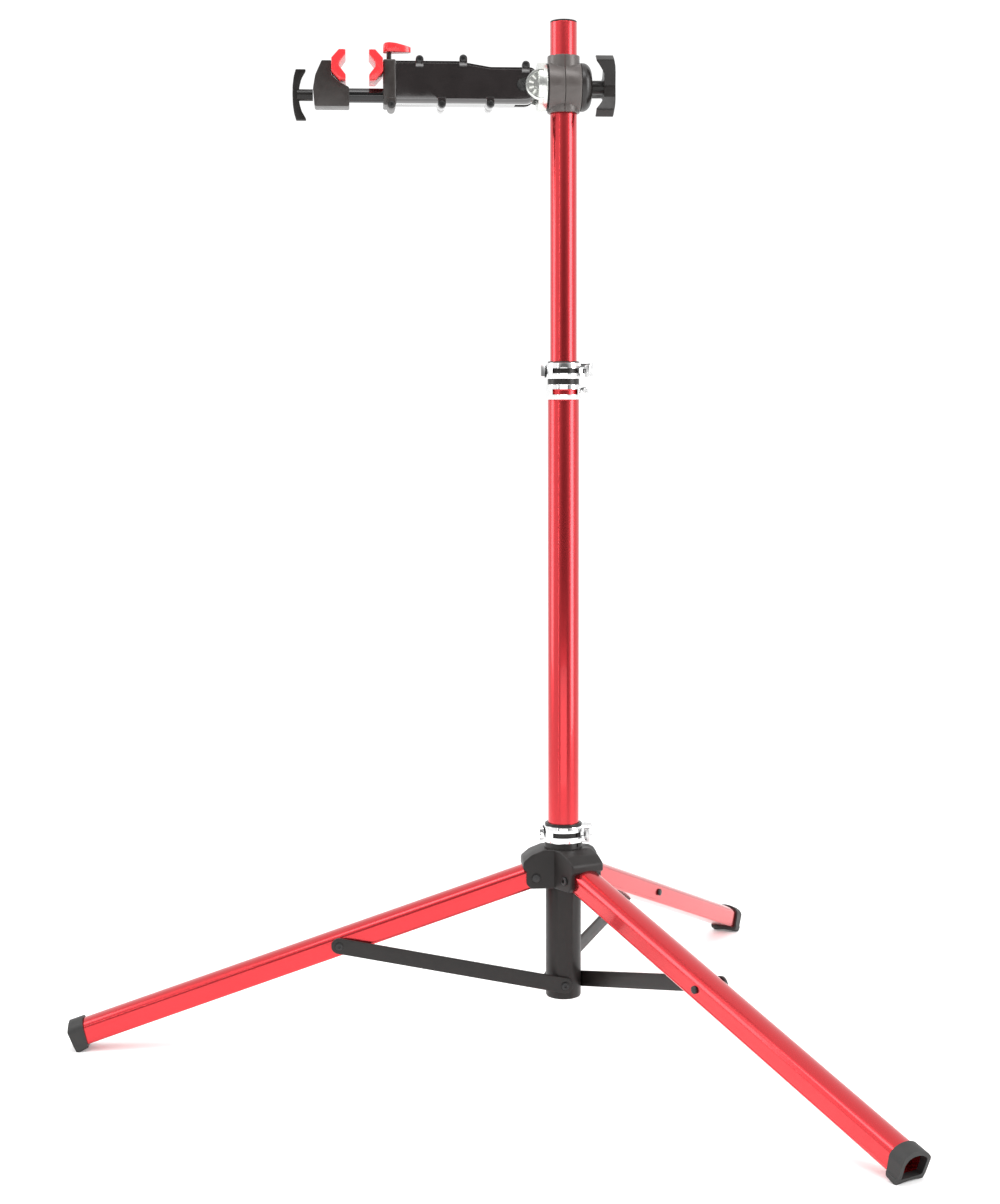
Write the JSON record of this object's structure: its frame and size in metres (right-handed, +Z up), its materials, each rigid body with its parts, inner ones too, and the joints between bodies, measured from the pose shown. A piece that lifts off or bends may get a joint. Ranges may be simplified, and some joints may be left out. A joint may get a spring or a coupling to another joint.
{
  "type": "folding bicycle repair stand",
  "caption": "Folding tripod repair stand: telescopic swivelling column and a turning, folding clamp head with sliding padded jaw.",
  "frame": {"origin": "on the floor, on the column's axis", "axes": "+Z up along the column; the clamp arm points along -X at rest"},
  "size_m": [1.0098, 1.1652, 1.3481],
  "materials": {
    "red_metal": "gloss red anodised",
    "chrome": "polished",
    "zinc": "polished die casting",
    "steel": "plated",
    "black_steel": "blackened",
    "black_bar": "satin black paint",
    "casting": "satin black paint",
    "sleeve": "satin black",
    "barrel": "satin dark grey paint",
    "gloss_black": "gloss black",
    "shaft": "gloss black",
    "black_plastic": "satin black",
    "red_plastic": "gloss red",
    "rubber": "matt black"
  },
  "bodies": {
    "base": {"lower_tube": "red_metal", "strut_sleeve": "sleeve", "mid_collar": "chrome", "mid_pinch_bolt": "steel", "mid_skewer": "steel"},
    "mid_lever": {"mid_lever": "chrome"},
    "hub": {"hub": "casting", "base_collar": "chrome", "base_bush": "black_plastic", "base_skewer": "steel", "leg_bolt_left": "black_steel", "leg_bolt_front": "black_steel", "leg_bolt_back": "black_steel"},
    "base_lever": {"base_lever": "chrome"},
    "leg_left": {"leg_left": "red_metal", "foot_left": "rubber", "strut_pivot_left": "black_steel"},
    "strut_left": {"strut_left": "black_bar", "strut_screw_left": "black_steel"},
    "leg_front": {"leg_front": "red_metal", "foot_front": "rubber", "strut_pivot_front": "black_steel"},
    "strut_front": {"strut_front": "black_bar", "strut_screw_front": "black_steel"},
    "leg_back": {"leg_back": "red_metal", "foot_back": "rubber", "strut_pivot_back": "black_steel"},
    "strut_back": {"strut_back": "black_bar", "strut_screw_back": "black_steel"},
    "swivel": {"mid_bush": "black_plastic"},
    "mast": {"upper_tube": "red_metal", "top_plug": "black_plastic", "barrel_left": "barrel", "barrel_right": "barrel", "barrel_cap": "gloss_black", "spin_washer": "black_plastic"},
    "knob": {"knob": "black_plastic"},
    "knuckle": {"knuckle": "zinc"},
    "fold_pivot": {"fold_tongue": "zinc", "fold_screw": "zinc"},
    "clamp": {"clamp_front_half": "gloss_black", "clamp_back_half": "gloss_black", "lug_screw_1": "black_steel", "lug_screw_2": "black_steel", "lug_screw_3": "black_steel", "lug_screw_4": "black_steel", "lug_screw_5": "black_steel", "nose_collar": "casting", "nose_screw": "black_steel", "rear_pad": "red_plastic", "release_stem": "steel"},
    "jaw": {"front_jaw": "casting", "front_pad": "red_plastic", "slide_shaft": "shaft"},
    "t_handle": {"t_handle": "black_plastic"},
    "release_lever": {"release_lever": "red_plastic"}
  },
  "joints": [
    {"name": "tripod_fold", "type": "slide", "parent": "base", "child": "hub", "axis": [0, 0, 1], "range_m": [0, 0.43374]},
    {"name": "mid_lever_open", "type": "hinge", "parent": "base", "child": "mid_lever", "pos_m": [0.031, 0.0175, 0.8965], "axis": [0, 0, -1], "range_deg": [0, 125]},
    {"name": "base_lever_open", "type": "hinge", "parent": "hub", "child": "base_lever", "pos_m": [0.031, 0.0175, 0.28025], "axis": [0, 0, -1], "range_deg": [0, 125]},
    {"name": "leg_left_hinge", "type": "hinge", "parent": "hub", "child": "leg_left", "pos_m": [-0.039, 0, 0.2245], "axis": [0, -1, 0], "range_deg": [0, 71.45]},
    {"name": "strut_left_hinge", "type": "hinge", "parent": "leg_left", "child": "strut_left", "pos_m": [-0.3015, 0, 0.1374], "axis": [0, 1, 0], "range_deg": [0, 141.71]},
    {"name": "leg_front_hinge", "type": "hinge", "parent": "hub", "child": "leg_front", "pos_m": [0.0195, -0.03377, 0.2245], "axis": [0.866, 0.5, 0], "range_deg": [0, 71.45]},
    {"name": "strut_front_hinge", "type": "hinge", "parent": "leg_front", "child": "strut_front", "pos_m": [0.15075, -0.26111, 0.1374], "axis": [-0.866, -0.5, 0], "range_deg": [0, 141.71]},
    {"name": "leg_back_hinge", "type": "hinge", "parent": "hub", "child": "leg_back", "pos_m": [0.0195, 0.03377, 0.2245], "axis": [-0.866, 0.5, 0], "range_deg": [0, 71.45]},
    {"name": "strut_back_hinge", "type": "hinge", "parent": "leg_back", "child": "strut_back", "pos_m": [0.15075, 0.26111, 0.1374], "axis": [0.866, -0.5, 0], "range_deg": [0, 141.71]},
    {"name": "mast_swivel", "type": "hinge", "parent": "base", "child": "swivel", "pos_m": [0, 0, 0.878], "axis": [0, 0, 1], "continuous": true},
    {"name": "mast_slide", "type": "slide", "parent": "swivel", "child": "mast", "axis": [0, 0, 1], "range_m": [-0.3, 0.38]},
    {"name": "knob_turn", "type": "hinge", "parent": "mast", "child": "knob", "pos_m": [0.0402, 0, 1.2632], "axis": [1, 0, 0], "continuous": true},
    {"name": "head_spin", "type": "hinge", "parent": "mast", "child": "knuckle", "pos_m": [-0.0207, 0, 1.2632], "axis": [1, 0, 0], "continuous": true},
    {"name": "fold_pull", "type": "slide", "parent": "knuckle", "child": "fold_pivot", "axis": [-1, 0, 0], "range_m": [0, 0.00905]},
    {"name": "head_fold", "type": "hinge", "parent": "fold_pivot", "child": "clamp", "pos_m": [-0.0542, 0, 1.2632], "axis": [0, -1, 0], "range_deg": [0, 90]},
    {"name": "jaw_slide", "type": "slide", "parent": "clamp", "child": "jaw", "axis": [-1, 0, 0], "range_m": [-0.0292, 0.035]},
    {"name": "t_handle_turn", "type": "hinge", "parent": "jaw", "child": "t_handle", "pos_m": [-0.325, 0, 1.2507], "axis": [1, 0, 0], "continuous": true},
    {"name": "release_lever_lift", "type": "hinge", "parent": "clamp", "child": "release_lever", "pos_m": [-0.2265, 0, 1.3092], "axis": [0, -1, 0], "range_deg": [0, 45]}
  ],
  "couplings": [
    {"joint": "leg_left_hinge", "follows": "tripod_fold", "rad_per_m": 2.8529},
    {"joint": "strut_left_hinge", "follows": "tripod_fold", "rad_per_m": 5.6997},
    {"joint": "leg_front_hinge", "follows": "tripod_fold", "rad_per_m": 2.8529},
    {"joint": "strut_front_hinge", "follows": "tripod_fold", "rad_per_m": 5.6997},
    {"joint": "leg_back_hinge", "follows": "tripod_fold", "rad_per_m": 2.8529},
    {"joint": "strut_back_hinge", "follows": "tripod_fold", "rad_per_m": 5.6997},
    {"joint": "fold_pull", "follows": "head_fold", "m_per_rad": 0.00573}
  ]
}
